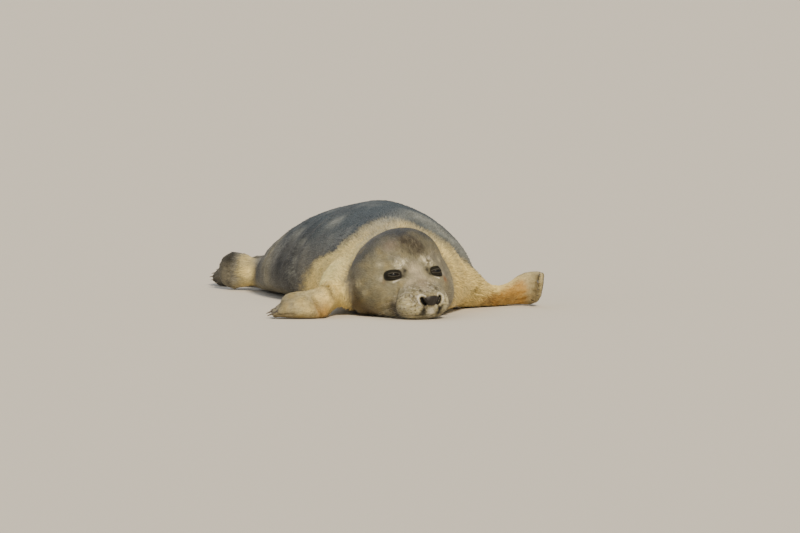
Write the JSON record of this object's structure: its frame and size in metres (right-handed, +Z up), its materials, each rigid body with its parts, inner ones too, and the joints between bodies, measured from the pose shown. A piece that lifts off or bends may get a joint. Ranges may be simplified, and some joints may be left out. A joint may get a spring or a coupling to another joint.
{
  "type": "grey seal pup",
  "caption": "Life-size still model of a grey seal pup lying on its belly with its chin on the floor, its eyes half closed and its fore flippers spread.",
  "frame": {"origin": "middle of the footprint on the floor, under the belly", "axes": "+Z up, -Y the way the seal faces, -X the side of its right flippers, where its hind end also lies"},
  "size_m": [0.5868, 0.8118, 0.1784],
  "materials": {
    "coat_grey": "short dense fur, silver grey to dark blue-grey",
    "coat_cream": "short dense fur, cream with grey tips",
    "eye_dark": "wet gloss",
    "claw_horn": "satin horn"
  },
  "bodies": {
    "root": {"trunk": "coat_grey", "head": "coat_grey", "tail": "coat_grey", "hind_flipper_left": "coat_grey", "hind_flipper_right": "coat_grey", "neck": "coat_cream", "fore_flipper_left": "coat_cream", "fore_flipper_right": "coat_cream", "eye_left": "eye_dark", "eye_right": "eye_dark", "fore_claw_left_1": "claw_horn", "fore_claw_left_2": "claw_horn", "fore_claw_left_3": "claw_horn", "fore_claw_left_4": "claw_horn", "fore_claw_left_5": "claw_horn", "fore_claw_right_1": "claw_horn", "fore_claw_right_2": "claw_horn", "fore_claw_right_3": "claw_horn", "fore_claw_right_4": "claw_horn", "fore_claw_right_5": "claw_horn", "hind_claw_left_1": "claw_horn", "hind_claw_left_2": "claw_horn", "hind_claw_left_3": "claw_horn", "hind_claw_left_4": "claw_horn", "hind_claw_left_5": "claw_horn", "hind_claw_right_1": "claw_horn", "hind_claw_right_2": "claw_horn", "hind_claw_right_3": "claw_horn", "hind_claw_right_4": "claw_horn", "hind_claw_right_5": "claw_horn"}
  },
  "joints": []
}
